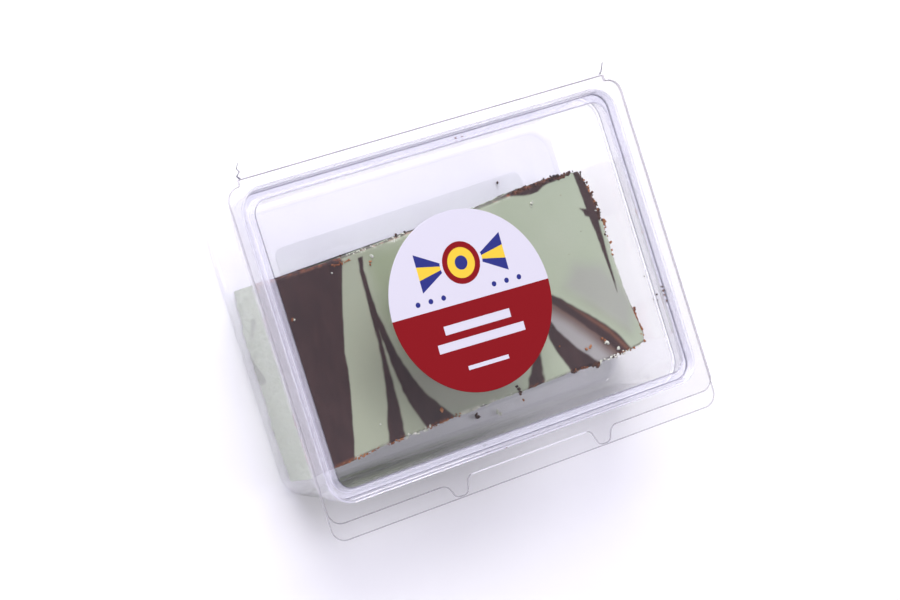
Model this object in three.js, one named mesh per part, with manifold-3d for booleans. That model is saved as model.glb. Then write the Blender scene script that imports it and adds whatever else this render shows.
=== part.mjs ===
import * as THREE from 'three';
import { mergeVertices } from 'three/addons/utils/BufferGeometryUtils.js';
import Module from 'manifold-3d';

// A hinged clear plastic pack with a round paper label and one block of swirled fudge inside.
// Millimetres, +Z up, +X along the pack, +Y towards the hinge.
// The drawing height 0 is the top of the closed lid's flange, and the last lines set the pack
// down so that the origin is the middle of its underside.

// Pack
const FLANGE_HALF_X = 78;
const HINGE_LINE_Y = 57.5;
const FLANGE_FRONT_Y = -57.9;
const LIP_FRONT_Y = -63.5;
const HINGE_HALF_X = 71.9;
const CORNER_BACK_Y = 55.4;
const FLANGE_CORNER = 5;
const SHEET = 0.5;
const FLANGE_GAP = 0.3;
const PACK_DEPTH = 43;
const OPENING_CENTRE_Y = 0.5;
// Each back corner of the flange turns in by this angle, then steps to the end of the hinge
const BACK_CORNER_TURN = 0.42 * Math.PI;
const HINGE_END_STEPS = [[1.2, 0.5], [0.4, 1]];

// Tub: outer half sizes down the wall
const TUB_TOP = { halfX: 74.4, halfY: 53.3, radius: 8.5 };
const TUB_ABOVE_LEDGE = { halfX: 73.9, halfY: 52.7, radius: 8.5 };
const TUB_BELOW_LEDGE = { halfX: 73.3, halfY: 52.1, radius: 8.5 };
const TUB_FOOT = { halfX: 71.7, halfY: 49.2, radius: 10 };
const LEDGE_Z = -12;
const LEDGE_RISE = 0.7;
const FOOT_ROUND = 3.5;
const FOOT_STEPS = 4;
// A loop near the middle of the wall, as a share of its widening and of the pack's depth
const WALL_MIDDLE = 0.55;
// How far the inside of each loop of the wall is lifted, as a share of the sheet
const WALL_LIFT = 0.1;

// Lid: a channel that plugs into the tub, and the panel inside it
const CHANNEL_TOP = { halfX: 73.05, halfY: 51.95, radius: 7.4 };
const CHANNEL_FLOOR_OUTER = { halfX: 72.75, halfY: 51.65, radius: 7.2 };
const CHANNEL_FLOOR_INNER = { halfX: 71.0, halfY: 49.8, radius: 6.2 };
const PANEL_EDGE = { halfX: 70.2, halfY: 49.0, radius: 5.6 };
const CHANNEL_FLOOR_Z = -4;
const PANEL_Z = -1;

// Front tabs of the lid's flange
const TAB_INNER_X = 24.8;
const TAB_OUTER_X = 33.4;
const TAB_REACH_Y = -62.9;
const TAB_SLOPE = 2.4;
const TAB_INNER_TURN = { out: 0.72, short: 2 };
const TAB_OUTER_TURN = { out: 1.44, short: 1.6 };
const RECESS_FRONT_Y = -57.2;

// Living hinge
const HINGE_RADIUS = 0.55;
const HINGE_AXIS_Y = 58.6;
const HINGE_AXIS_Z = -SHEET - FLANGE_GAP / 2;
const HINGE_SIDES = 12;
const HINGE_OVERLAP = 1;

// Label
const LABEL_RADIUS = 30.9;
const LABEL_THICKNESS = 0.2;
const LABEL_CENTRE = [-3.5, -2.5];
const LABEL_LIFT = 0.02;
const LABEL_SIDES = 72;

// Fudge
const FUDGE_BACK_LEFT = [-67.2, 24.0];
const FUDGE_BACK_RIGHT = [64.4, 27.2];
const FUDGE_FRONT_RIGHT = [70.3, -36.8];
const FUDGE_FRONT_LEFT = [-68.9, -42.6];
const FUDGE_THICKNESS = 20.2;
const FUDGE_FLOOR_GAP = 0.3;
const FUDGE_CORNER = 1.2;
const FUDGE_EDGE_STEP = 2.6;
const FUDGE_MIDDLE = { x: 0.7, y: -7 };
const FUDGE_TOP_INSET = 1.6;
// Loops up its sides, then round its torn top edge: height over the underside, how far the
// loop lies inside the outline, and how uneven it is
const FUDGE_SIDES = [
  [0, 1.1, 0.2], [0.9, 0.2, 0.35], [5.05, 0.1, 0.4], [10.1, 0, 0.4], [15.15, 0, 0.4], [19.1, 0, 0.45],
];
const FUDGE_EDGES = [[19.85, 0.35, 0.5], [20.18, 0.9, 0.4]];
// Loops over its top, each a share of the way from the middle to the edge
const FUDGE_TOP_SHARES = [1, 0.93, 0.75, 0.5, 0.25];
const EDGE_UNEVENNESS = 0.35;
const TOP_UNEVENNESS = 0.22;
// The waves that cut and broken faces are uneven by: height, turns along and across, and start
const WAVES = [[0.5, 0.9, 1.3, 0], [0.3, 2.3, -0.7, 1.1], [0.2, 5.1, 2.9, 0.4]];

const CORNER_STEPS = 8;
const QUARTER_TURN = Math.PI / 2;

const wasm = await Module();
wasm.setup();

function geometryFrom(positions, indices) {
  const geometry = new THREE.BufferGeometry();
  geometry.setAttribute('position', new THREE.Float32BufferAttribute(positions, 3));
  geometry.setIndex(indices);
  return geometry;
}

function toSolid(geometry) {
  const bare = geometry.clone();
  bare.deleteAttribute('normal');
  bare.deleteAttribute('uv');
  const merged = mergeVertices(bare, 1e-4);
  return new wasm.Manifold(new wasm.Mesh({
    numProp: 3,
    vertProperties: new Float32Array(merged.attributes.position.array),
    triVerts: new Uint32Array(merged.index.array),
  }));
}

function toGeometry(solid) {
  const mesh = solid.getMesh();
  return geometryFrom(Array.from(mesh.vertProperties), Array.from(mesh.triVerts));
}

function joinAll(geometries) {
  return toGeometry(geometries.map(toSolid).reduce((whole, next) => whole.add(next)));
}

function arc(centreX, centreY, radius, from, to, steps) {
  const points = [];
  for (let i = 0; i <= steps; i += 1) {
    const angle = from + ((to - from) * i) / steps;
    points.push([centreX + radius * Math.cos(angle), centreY + radius * Math.sin(angle)]);
  }
  return points;
}

// A rounded rectangle, anticlockwise from the right side
function roundedLoop({ halfX, halfY, radius }) {
  const points = [];
  for (let corner = 0; corner < 4; corner += 1) {
    const signX = corner === 0 || corner === 3 ? 1 : -1;
    const signY = corner < 2 ? 1 : -1;
    const start = corner * QUARTER_TURN;
    const centreX = signX * (halfX - radius);
    const centreY = signY * (halfY - radius);
    points.push(...arc(centreX, centreY, radius, start, start + QUARTER_TURN, CORNER_STEPS));
  }
  return points;
}

// A closed body through loops of equal point count, with a pole before the first and after the last
function loft(firstPole, loops, lastPole) {
  const positions = [...firstPole];
  loops.forEach(({ points, z }) => {
    points.forEach(([x, y]) => positions.push(x, y, typeof z === 'function' ? z(x, y) : z));
  });
  positions.push(...lastPole);
  const count = loops[0].points.length;
  const lastIndex = positions.length / 3 - 1;
  const indices = [];
  for (let i = 0; i < count; i += 1) {
    const next = (i + 1) % count;
    indices.push(0, 1 + next, 1 + i);
    for (let k = 0; k + 1 < loops.length; k += 1) {
      const low = 1 + k * count;
      const high = low + count;
      indices.push(low + i, low + next, high + next);
      indices.push(low + i, high + next, high + i);
    }
    const top = 1 + (loops.length - 1) * count;
    indices.push(lastIndex, top + i, top + next);
  }
  return geometryFrom(positions, indices);
}

function inset(size, amount) {
  return {
    halfX: size.halfX - amount,
    halfY: size.halfY - amount,
    radius: Math.max(size.radius - amount, 1),
  };
}

function between(a, b, share) {
  const mix = (key) => a[key] + (b[key] - a[key]) * share;
  return { halfX: mix('halfX'), halfY: mix('halfY'), radius: mix('radius') };
}

// A thin pressed sheet: loops down the outside of a wall, and up its inside
function pressedShell(sections) {
  const loops = sections.map(({ size, z }) => ({
    points: roundedLoop(size).map(([x, y]) => [x, y + OPENING_CENTRE_Y]),
    z,
  }));
  const first = [0, OPENING_CENTRE_Y, sections[0].z];
  const last = [0, OPENING_CENTRE_Y, sections[sections.length - 1].z];
  return loft(first, loops, last);
}

function plate(outline, hole, bottomZ) {
  const shape = new THREE.Shape(outline.map(([x, y]) => new THREE.Vector2(x, y)));
  const holePoints = roundedLoop(hole).map(([x, y]) => new THREE.Vector2(x, y + OPENING_CENTRE_Y));
  shape.holes.push(new THREE.Path(holePoints));
  const geometry = new THREE.ExtrudeGeometry(shape, { depth: SHEET, bevelEnabled: false });
  geometry.translate(0, 0, bottomZ);
  return geometry;
}

// The flange's outline, from the right half and its mirror image
function flangeOutline(frontY, tabs) {
  const centreX = FLANGE_HALF_X - FLANGE_CORNER;
  const notchY = CORNER_BACK_Y - FLANGE_CORNER;
  const rightHalf = [
    ...(tabs ? [
      [TAB_INNER_X, RECESS_FRONT_Y],
      [TAB_INNER_X + TAB_INNER_TURN.out, TAB_REACH_Y + TAB_INNER_TURN.short],
      [TAB_INNER_X + TAB_SLOPE, TAB_REACH_Y],
      [TAB_OUTER_X - TAB_SLOPE, TAB_REACH_Y],
      [TAB_OUTER_X - TAB_OUTER_TURN.out, TAB_REACH_Y + TAB_OUTER_TURN.short],
      [TAB_OUTER_X, frontY],
    ] : []),
    ...arc(centreX, frontY + FLANGE_CORNER, FLANGE_CORNER, -QUARTER_TURN, 0, CORNER_STEPS),
    ...arc(centreX, notchY, FLANGE_CORNER, 0, BACK_CORNER_TURN, CORNER_STEPS),
    ...HINGE_END_STEPS.map(([out, back]) => [HINGE_HALF_X + out, CORNER_BACK_Y + back]),
    [HINGE_HALF_X, HINGE_LINE_Y],
  ];
  const leftHalf = rightHalf.map(([x, y]) => [-x, y]).reverse();
  return [...rightHalf, ...leftHalf];
}

function tubGeometry() {
  const topZ = -SHEET - FLANGE_GAP;
  const outside = [];
  for (let i = 0; i <= FOOT_STEPS; i += 1) {
    const angle = (i / FOOT_STEPS) * QUARTER_TURN;
    outside.push({
      size: inset(TUB_FOOT, FOOT_ROUND * (1 - Math.sin(angle))),
      z: -PACK_DEPTH + FOOT_ROUND * (1 - Math.cos(angle)),
    });
  }
  outside.push({ size: between(TUB_FOOT, TUB_BELOW_LEDGE, WALL_MIDDLE), z: -PACK_DEPTH * WALL_MIDDLE });
  outside.push({ size: TUB_BELOW_LEDGE, z: LEDGE_Z - LEDGE_RISE });
  outside.push({ size: TUB_ABOVE_LEDGE, z: LEDGE_Z });
  outside.push({ size: TUB_TOP, z: topZ });
  const lift = (i) => (i < FOOT_STEPS ? 1 - i / (FOOT_STEPS + 1) : WALL_LIFT);
  const inside = outside.map(({ size, z }, i) => ({
    size: inset(size, SHEET),
    z: i === outside.length - 1 ? z : z + SHEET * lift(i),
  })).reverse();
  const walls = pressedShell([...outside, ...inside]);
  const flange = plate(flangeOutline(LIP_FRONT_Y, false), inset(TUB_TOP, SHEET / 2), topZ - SHEET);
  const bead = new THREE.CylinderGeometry(HINGE_RADIUS, HINGE_RADIUS, 2 * HINGE_HALF_X, HINGE_SIDES);
  bead.rotateZ(QUARTER_TURN);
  bead.translate(0, HINGE_AXIS_Y, HINGE_AXIS_Z);
  const stripStartY = HINGE_LINE_Y - HINGE_OVERLAP;
  const strip = new THREE.BoxGeometry(2 * HINGE_HALF_X, HINGE_AXIS_Y - stripStartY, SHEET);
  strip.translate(0, (HINGE_AXIS_Y + stripStartY) / 2, topZ - SHEET / 2);
  return joinAll([walls, flange, strip, bead]);
}

function lidGeometry() {
  const walls = pressedShell([
    { size: inset(PANEL_EDGE, SHEET), z: PANEL_Z - SHEET },
    { size: inset(CHANNEL_FLOOR_INNER, SHEET), z: CHANNEL_FLOOR_Z - SHEET },
    { size: CHANNEL_FLOOR_OUTER, z: CHANNEL_FLOOR_Z - SHEET },
    { size: inset(CHANNEL_FLOOR_OUTER, -SHEET), z: CHANNEL_FLOOR_Z },
    { size: inset(CHANNEL_TOP, -SHEET), z: 0 },
    { size: CHANNEL_TOP, z: 0 },
    { size: CHANNEL_FLOOR_OUTER, z: CHANNEL_FLOOR_Z },
    { size: CHANNEL_FLOOR_INNER, z: CHANNEL_FLOOR_Z },
    { size: PANEL_EDGE, z: PANEL_Z },
  ]);
  const outline = flangeOutline(FLANGE_FRONT_Y, true);
  const flange = plate(outline, inset(CHANNEL_TOP, -SHEET / 2), -SHEET);
  return joinAll([walls, flange]);
}

function labelGeometry() {
  const disc = new THREE.CylinderGeometry(LABEL_RADIUS, LABEL_RADIUS, LABEL_THICKNESS, LABEL_SIDES);
  disc.rotateX(QUARTER_TURN);
  disc.translate(...LABEL_CENTRE, PANEL_Z + LABEL_LIFT + LABEL_THICKNESS / 2);
  return disc;
}

// Small steady unevenness for cut and broken faces
function ripple(u, v) {
  return WAVES.reduce((sum, [height, alongU, alongV, start]) => (
    sum + height * Math.sin(alongU * u + alongV * v + start)), 0);
}

// The block's outline, a slightly skewed rectangle with small round corners, anticlockwise
function fudgeOutline() {
  const corners = [FUDGE_FRONT_LEFT, FUDGE_FRONT_RIGHT, FUDGE_BACK_RIGHT, FUDGE_BACK_LEFT]
    .map(([x, y]) => new THREE.Vector2(x, y));
  const points = [];
  corners.forEach((corner, i) => {
    const next = corners[(i + 1) % 4];
    const length = corner.distanceTo(next);
    const along = next.clone().sub(corner).normalize();
    const steps = Math.round((length - 2 * FUDGE_CORNER) / FUDGE_EDGE_STEP);
    for (let k = 0; k <= steps; k += 1) {
      const distance = FUDGE_CORNER + ((length - 2 * FUDGE_CORNER) * k) / steps;
      const point = corner.clone().addScaledVector(along, distance);
      points.push({ x: point.x, y: point.y, outX: along.y, outY: -along.x });
    }
  });
  return points;
}

function fudgeGeometry() {
  const outline = fudgeOutline();
  const bottom = -PACK_DEPTH + SHEET + FUDGE_FLOOR_GAP;
  const top = bottom + FUDGE_THICKNESS;
  const sideLoop = (z, back, rough) => ({
    points: outline.map(({ x, y, outX, outY }) => {
      const out = -back + rough * ripple(0.31 * x + 0.27 * y, 0.45 * z);
      return [x + outX * out, y + outY * out];
    }),
    z,
  });
  const edgeLoop = (z, back, rough) => ({
    points: sideLoop(z, back, rough).points,
    z: (x, y) => z + EDGE_UNEVENNESS * ripple(0.8 * x, 0.7 * y + 1.7),
  });
  const topLoop = (share) => ({
    points: outline.map(({ x, y, outX, outY }) => {
      const insideX = x - outX * FUDGE_TOP_INSET;
      const insideY = y - outY * FUDGE_TOP_INSET;
      return [
        FUDGE_MIDDLE.x + (insideX - FUDGE_MIDDLE.x) * share,
        FUDGE_MIDDLE.y + (insideY - FUDGE_MIDDLE.y) * share,
      ];
    }),
    z: (x, y) => top + TOP_UNEVENNESS * ripple(0.06 * x + 0.9, 0.08 * y),
  });
  const loops = [
    ...FUDGE_SIDES.map(([height, back, rough]) => sideLoop(bottom + height, back, rough)),
    ...FUDGE_EDGES.map(([height, back, rough]) => edgeLoop(bottom + height, back, rough)),
    ...FUDGE_TOP_SHARES.map(topLoop),
  ];
  const { x, y } = FUDGE_MIDDLE;
  return loft([x, y, bottom], loops, [x, y, top]);
}

function plastic() {
  return new THREE.MeshStandardMaterial({ color: 0xe9eaf2, roughness: 0.05, metalness: 0 });
}

function part(name, geometry, material) {
  const mesh = new THREE.Mesh(geometry, material);
  mesh.name = name;
  return mesh;
}

const paper = new THREE.MeshStandardMaterial({ color: 0xe9e8f3, roughness: 0.45, metalness: 0 });
const fudge = new THREE.MeshStandardMaterial({ color: 0xb4c2a6, roughness: 0.5, metalness: 0 });

const pack = new THREE.Group();
pack.add(part('tub', tubGeometry(), plastic()));
pack.add(part('lid', lidGeometry(), plastic()));
pack.add(part('label', labelGeometry(), paper));
pack.add(part('fudge', fudgeGeometry(), fudge));

// The hinge bead's back and the lip's front are the ends of the pack along Y
const backReach = HINGE_AXIS_Y + HINGE_RADIUS;
pack.position.set(0, -(backReach + LIP_FRONT_Y) / 2, PACK_DEPTH);
pack.updateMatrixWorld(true);

export default pack;
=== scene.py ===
import math

import bmesh
import bpy
import numpy as np
from mathutils import Matrix, Vector, noise


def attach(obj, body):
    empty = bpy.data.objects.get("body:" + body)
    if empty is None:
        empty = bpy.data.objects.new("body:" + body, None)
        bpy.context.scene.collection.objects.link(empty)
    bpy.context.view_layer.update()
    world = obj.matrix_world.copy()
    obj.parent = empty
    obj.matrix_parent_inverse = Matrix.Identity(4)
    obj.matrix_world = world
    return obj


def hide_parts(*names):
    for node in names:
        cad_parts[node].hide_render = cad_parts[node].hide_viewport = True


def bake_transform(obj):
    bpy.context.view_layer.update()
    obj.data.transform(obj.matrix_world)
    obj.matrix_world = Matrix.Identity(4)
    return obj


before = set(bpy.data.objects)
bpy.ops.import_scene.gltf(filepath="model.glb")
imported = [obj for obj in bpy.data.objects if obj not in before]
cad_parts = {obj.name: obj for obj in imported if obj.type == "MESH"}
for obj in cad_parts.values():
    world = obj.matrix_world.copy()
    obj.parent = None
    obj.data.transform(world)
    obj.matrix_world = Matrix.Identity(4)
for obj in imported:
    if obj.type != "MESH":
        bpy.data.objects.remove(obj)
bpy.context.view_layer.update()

bpy.ops.object.select_all(action='DESELECT')


# View
#
# A long lens looks down on the pack from above its left end, rolled so that the pack lies
# with its long side rising to the right. Columns: the lens's right, up and backward.
LENS = 108
FILM_WIDTH = 36
bpy.ops.object.camera_add()
camera = bpy.context.object
camera.name = "camera"
camera.data.lens = LENS
camera.data.sensor_width = FILM_WIDTH
camera.data.clip_start = 0.01
camera.matrix_world = Matrix((
    (0.83361, 0.27322, -0.48004, -0.44154),
    (-0.29853, 0.95408, 0.02463, 0.02402),
    (0.46473, 0.12278, 0.87690, 0.82806),
    (0, 0, 0, 1),
))
bpy.context.scene.camera = camera
bpy.context.scene.view_settings.view_transform = 'Standard'
# A line of sight through both halves of the pack crosses up to a dozen faces of clear sheet.
bpy.context.scene.cycles.transparent_max_bounces = 32


# Table and studio light
#
# A white table swept well past the view, a wide softbox behind the pack, and two weaker ones
# past its ends that open the shadows. The room's light is cool, so the shadows turn lilac.
def linear(hex_colour):
    """An sRGB hex colour as the linear colour a shader reads."""
    channels = [int(hex_colour[i:i + 2], 16) / 255 for i in (1, 3, 5)]
    curve = [c / 12.92 if c <= 0.04045 else ((c + 0.055) / 1.055) ** 2.4 for c in channels]
    return (*curve, 1)


def add_node(tree, kind, inputs=None, **settings):
    """A node with its settings, and with values or links put into its sockets."""
    node = tree.nodes.new(kind)
    for name, value in settings.items():
        setattr(node, name, value)
    for socket, value in (inputs or {}).items():
        if isinstance(value, bpy.types.NodeSocket):
            tree.links.new(value, node.inputs[socket])
        else:
            node.inputs[socket].default_value = value
    return node


def empty_material(name):
    """A material with no nodes, and its node tree."""
    material = bpy.data.materials.new(name)
    material.use_nodes = True
    material.node_tree.nodes.clear()
    return material, material.node_tree


table_paint, tree = empty_material("matt_white_card")
speckle = add_node(tree, 'ShaderNodeTexNoise', {'Scale': 400.0})
tone = add_node(tree, 'ShaderNodeMix', {
    0: speckle.outputs[0], 6: linear("#F4F3F6"), 7: linear("#F7F6F9")}, data_type='RGBA')
card = add_node(tree, 'ShaderNodeBsdfDiffuse', {'Color': tone.outputs[2]})
add_node(tree, 'ShaderNodeOutputMaterial', {'Surface': card.outputs[0]})

TABLE_SIZE = 7
UNDER_LABEL = 0.0003
bpy.ops.mesh.primitive_plane_add(size=TABLE_SIZE, location=(0, 0, -UNDER_LABEL))
table = bpy.context.object
table.name = "table"
bpy.ops.object.transform_apply(location=True, rotation=True, scale=True)
table.data.materials.append(table_paint)

# The room's white walls stand low round the table: they show in steep plastic, but add little
# light, and the dark ceiling leaves the level plastic clear.
WALL_TOP = 0.55
CEILING_START = 0.70
WALL_GLOW = 0.75
ROOM_FILL = 0.22
room = bpy.data.worlds.new("room")
bpy.context.scene.world = room
room.use_nodes = True
tree = room.node_tree
tree.nodes.clear()
sky_place = add_node(tree, 'ShaderNodeTexCoord')
height = add_node(tree, 'ShaderNodeSeparateXYZ', {0: sky_place.outputs['Generated']})
walls = add_node(tree, 'ShaderNodeMapRange', {
    'Value': height.outputs['Z'], 'From Min': WALL_TOP, 'From Max': CEILING_START,
    'To Min': WALL_GLOW, 'To Max': 0.0})
ray = add_node(tree, 'ShaderNodeLightPath')
mirrored = add_node(tree, 'ShaderNodeMath', {
    0: walls.outputs[0], 1: ray.outputs['Is Glossy Ray'], 2: ROOM_FILL}, operation='MULTIPLY_ADD')
glow = add_node(tree, 'ShaderNodeBackground', {
    'Color': linear("#F1EFFB"), 'Strength': mirrored.outputs[0]})
add_node(tree, 'ShaderNodeOutputWorld', {'Surface': glow.outputs[0]})

# Softboxes: direction from the pack, distance, width, depth, power and colour
SOFTBOXES = {
    "back_softbox": ((0.06, 0.85, 0.77), 1.6, 1.5, 1.15, 38.0, "#FDFBFF"),
    "right_softbox": ((1.00, -0.22, 0.75), 2.0, 0.9, 0.9, 11.0, "#FFFDFB"),
    "left_softbox": ((-1.0, 0.10, 0.60), 1.6, 1.2, 0.9, 9.5, "#FAF8FF"),
}
for name, (direction, distance, width, depth, power, colour) in SOFTBOXES.items():
    towards = Vector(direction).normalized()
    bpy.ops.object.light_add(type='AREA', location=towards * distance)
    lamp = bpy.context.object
    lamp.name = name
    lamp.rotation_euler = towards.to_track_quat('Z', 'Y').to_euler()
    lamp.data.shape = 'RECTANGLE'
    lamp.data.size = width
    lamp.data.size_y = depth
    lamp.data.energy = power
    lamp.data.color = linear(colour)[:3]


# Tub
#
# The lower half of the pack: clear PET sheet pressed over a mould, with a rounded foot, a
# small ledge that the lid snaps behind, and a flat flange cut out with a steel rule.
MM = 0.001
PACK_DEPTH = 43
FLANGE_SHIFT_Y = 2.175
SHEET = 0.5
OPENING_Y = 0.5
FLANGE_HALF_X = 78
CORNER_BACK_Y = 55.4
HINGE_HALF_X = 71.9
HINGE_LINE_Y = 57.5
TUB_FLANGE_Z = -1.3
LEDGE_Z = -12.0
LIP_FRONT_Y = -63.5
CORNER_RADIUS = 5
SHOULDER_X = HINGE_HALF_X + 0.6
SHOULDER_RADIUS = 1.4
FLOOR_BORDER = 1.2
SMOOTH_UP_TO = math.radians(40)

# Half lengths and height of each bend, from the floor of the tub up to its flange
TUB_START = (68.2, 45.7, -43.0)
TUB_START_RADIUS = 8.0
TUB_BENDS = (
    (69.54, 47.04, -42.73),
    (70.67, 48.17, -41.97),
    (71.43, 48.93, -40.84),
    (71.7, 49.2, -39.5),
    (72.1, 50.2, -31.0),
    (73.3, 52.1, -12.7),
    (73.9, 52.7, LEDGE_Z),
    (74.4, 53.3, TUB_FLANGE_Z),
    (75.9, 54.8, TUB_FLANGE_Z),
)


def spot(x, y, z):
    """A point given in millimetres from the middle of the closed lid's flange, in metres."""
    return Vector((x, y + FLANGE_SHIFT_Y, z + PACK_DEPTH)) * MM


def pick(piece, kind, test):
    """In edit mode, select only the parts of the mesh whose every corner passes the test, in mm."""
    bpy.ops.mesh.select_mode(type=kind)
    bpy.ops.mesh.select_all(action='DESELECT')
    shape = bmesh.from_edit_mesh(piece.data)
    parts = {'VERT': shape.verts, 'EDGE': shape.edges, 'FACE': shape.faces}[kind]
    for part in parts:
        corners = [part] if kind == 'VERT' else part.verts
        places = [corner.co / MM - Vector((0, FLANGE_SHIFT_Y, PACK_DEPTH)) for corner in corners]
        if all(test(place) for place in places):
            part.select_set(True)
    shape.select_flush_mode()
    bmesh.update_edit_mesh(piece.data)


def near(value, target, reach=0.02):
    return abs(value - target) < reach


def open_piece(name, scale=(1, 1, 1)):
    """Name the form just added, settle its size and place, and open it in edit mode."""
    piece = bpy.context.object
    piece.name = name
    piece.scale = scale
    bpy.ops.object.transform_apply(location=True, rotation=True, scale=True)
    bpy.ops.object.mode_set(mode='EDIT')
    return piece


def close_piece():
    """Turn the faces of the open piece to one side, and leave edit mode."""
    bpy.ops.mesh.select_all(action='SELECT')
    bpy.ops.mesh.normals_make_consistent(inside=False)
    bpy.ops.object.mode_set(mode='OBJECT')


def draw_edges(x, y, z):
    """Draw the selected edges out by this much, in mm."""
    bpy.ops.mesh.extrude_edges_move(TRANSFORM_OT_translate={"value": (x * MM, y * MM, z * MM)})


def new_sheet(name, half_x, half_y, middle_y, z):
    """A flat rectangle of sheet, left in edit mode."""
    bpy.ops.object.select_all(action='DESELECT')
    bpy.ops.mesh.primitive_plane_add(size=2, location=spot(0, middle_y, z))
    for finish in (thermoformed_pet, cut_pet_edge, pale_bend, dark_bend, drawn_pet_with_painted_veil, thinned_pet,
                   lit_pet_edge):
        bpy.context.object.data.materials.append(finish)
    return open_piece(name, (half_x * MM, half_y * MM, 1))


def round_corners(radius, steps):
    bpy.ops.mesh.bevel(offset=radius * MM, offset_type='OFFSET', segments=steps, profile=0.5,
                       affect='VERTICES')


def keep_boundary(piece):
    """Drop from the selection each edge that isn't on the sheet's rim."""
    shape = bmesh.from_edit_mesh(piece.data)
    for edge in shape.edges:
        if edge.select and not edge.is_boundary:
            edge.select_set(False)
    bmesh.update_edit_mesh(piece.data)


def press_walls(piece, start, start_radius, bends):
    """Draw the sheet's rim through each bend in turn, as a mould does."""
    bpy.ops.mesh.select_all(action='SELECT')
    bpy.ops.mesh.inset(thickness=FLOOR_BORDER * MM)
    pick(piece, 'EDGE', lambda p: near(p.z, start[2]) and (
        abs(p.x) > start[0] - start_radius and abs(p.y - OPENING_Y) > start[1] - start_radius
        or near(abs(p.x), start[0]) or near(abs(p.y - OPENING_Y), start[1])))
    keep_boundary(piece)
    half_x, half_y, z = start
    for next_x, next_y, next_z in bends:
        draw_edges(0, 0, next_z - z)
        bpy.ops.transform.resize(value=(next_x / half_x, next_y / half_y, 1),
                                 center_override=spot(0, OPENING_Y, next_z))
        half_x, half_y, z = next_x, next_y, next_z


def cut_flange(piece, front_y, z, tabs):
    """Lay the flange's outline round the pressed walls, and join it to their rim."""
    middle_y = (front_y + CORNER_BACK_Y) / 2
    half_y = (CORNER_BACK_Y - front_y) / 2
    is_new = lambda p: near(p.z, z) and (
        abs(p.x) > FLANGE_HALF_X - 1.5 or p.y < front_y + 1 or p.y > CORNER_BACK_Y - 0.1)
    bpy.ops.mesh.select_all(action='DESELECT')
    bpy.ops.mesh.primitive_plane_add(size=2, location=spot(0, middle_y, z))
    bpy.ops.transform.resize(value=(FLANGE_HALF_X * MM, half_y * MM, 1),
                             center_override=spot(0, middle_y, z))
    cuts = [SHOULDER_X, *(TAB_ROOTS if tabs else [])]
    for cut in [sign * c for c in cuts for sign in (-1, 1)]:
        pick(piece, 'FACE', is_new)
        bpy.ops.mesh.bisect(plane_co=spot(cut, 0, z), plane_no=(1, 0, 0))
    pick(piece, 'EDGE',
         lambda p: near(p.z, z) and near(p.y, CORNER_BACK_Y) and abs(p.x) < SHOULDER_X + 0.1)
    draw_edges(0, HINGE_LINE_Y - CORNER_BACK_Y, 0)
    if tabs:
        for sign in (-1, 1):
            pick(piece, 'EDGE', lambda p: near(p.z, z) and near(p.y, front_y)
                 and TAB_ROOTS[0] - 0.1 < sign * p.x < TAB_ROOTS[1] + 0.1)
            draw_edges(0, TAB_REACH_Y - front_y, 0)
            bpy.ops.transform.resize(value=(TAB_TIP_SHARE, 1, 1),
                                     center_override=spot(sign * TAB_TIP_X, TAB_REACH_Y, z))
        pick(piece, 'VERT',
             lambda p: near(p.z, z) and near(p.y, front_y) and near(abs(p.x), TAB_ROOTS[0]))
        bpy.ops.transform.translate(value=(0, (RECESS_FRONT_Y - front_y) * MM, 0))
    pick(piece, 'FACE', is_new)
    bpy.ops.mesh.dissolve_faces()
    pick(piece, 'VERT', lambda p: near(p.z, z) and near(abs(p.x), FLANGE_HALF_X))
    round_corners(CORNER_RADIUS, 8)
    pick(piece, 'VERT',
         lambda p: near(p.z, z) and near(abs(p.x), SHOULDER_X) and near(p.y, CORNER_BACK_Y))
    round_corners(SHOULDER_RADIUS, 4)
    if tabs:
        pick(piece, 'VERT', lambda p: near(p.z, z) and near(p.y, TAB_REACH_Y))
        round_corners(TAB_TIP_RADIUS, 5)
        pick(piece, 'VERT',
             lambda p: near(p.z, z) and near(abs(p.x), TAB_ROOTS[1]) and near(p.y, front_y))
        round_corners(TAB_ROOT_RADIUS, 5)
        pick(piece, 'VERT',
             lambda p: near(p.z, z) and near(abs(p.x), TAB_ROOTS[0]) and near(p.y, RECESS_FRONT_Y))
        round_corners(RECESS_RADIUS, 4)
    shape = bmesh.from_edit_mesh(piece.data)
    bpy.ops.mesh.select_mode(type='FACE')
    bpy.ops.mesh.select_all(action='DESELECT')
    shape.faces.ensure_lookup_table()
    for face in shape.faces:
        if max(abs(v.co.x) for v in face.verts) > (FLANGE_HALF_X - 0.5) * MM:
            face.select_set(True)
    bmesh.update_edit_mesh(piece.data)
    bpy.ops.mesh.delete(type='ONLY_FACE')
    bpy.ops.mesh.select_mode(type='EDGE')
    bpy.ops.mesh.select_all(action='DESELECT')
    shape = bmesh.from_edit_mesh(piece.data)
    for edge in shape.edges:
        level = all(near(v.co.z / MM - PACK_DEPTH, z) for v in edge.verts)
        if level and (edge.is_boundary or edge.is_wire):
            edge.select_set(True)
    bmesh.update_edit_mesh(piece.data)
    bpy.ops.mesh.fill(use_beauty=True)
    pick(piece, 'FACE', lambda p: near(p.z, z))
    bpy.ops.mesh.inset(thickness=CUT_LINE * MM, use_boundary=True)
    shape = bmesh.from_edit_mesh(piece.data)
    for face in shape.faces:
        middle = face.calc_center_median() / MM
        in_recess = tabs and abs(middle.x) < TAB_ROOTS[0] - 1.5 and middle.y < 0
        if any(edge.is_boundary for edge in face.edges):
            # The recess's cut edge takes the lit finish: its strong white haze is a painted highlight.
            face.material_index = LIT_EDGE if in_recess else CUT_EDGE
    bmesh.update_edit_mesh(piece.data)


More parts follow.
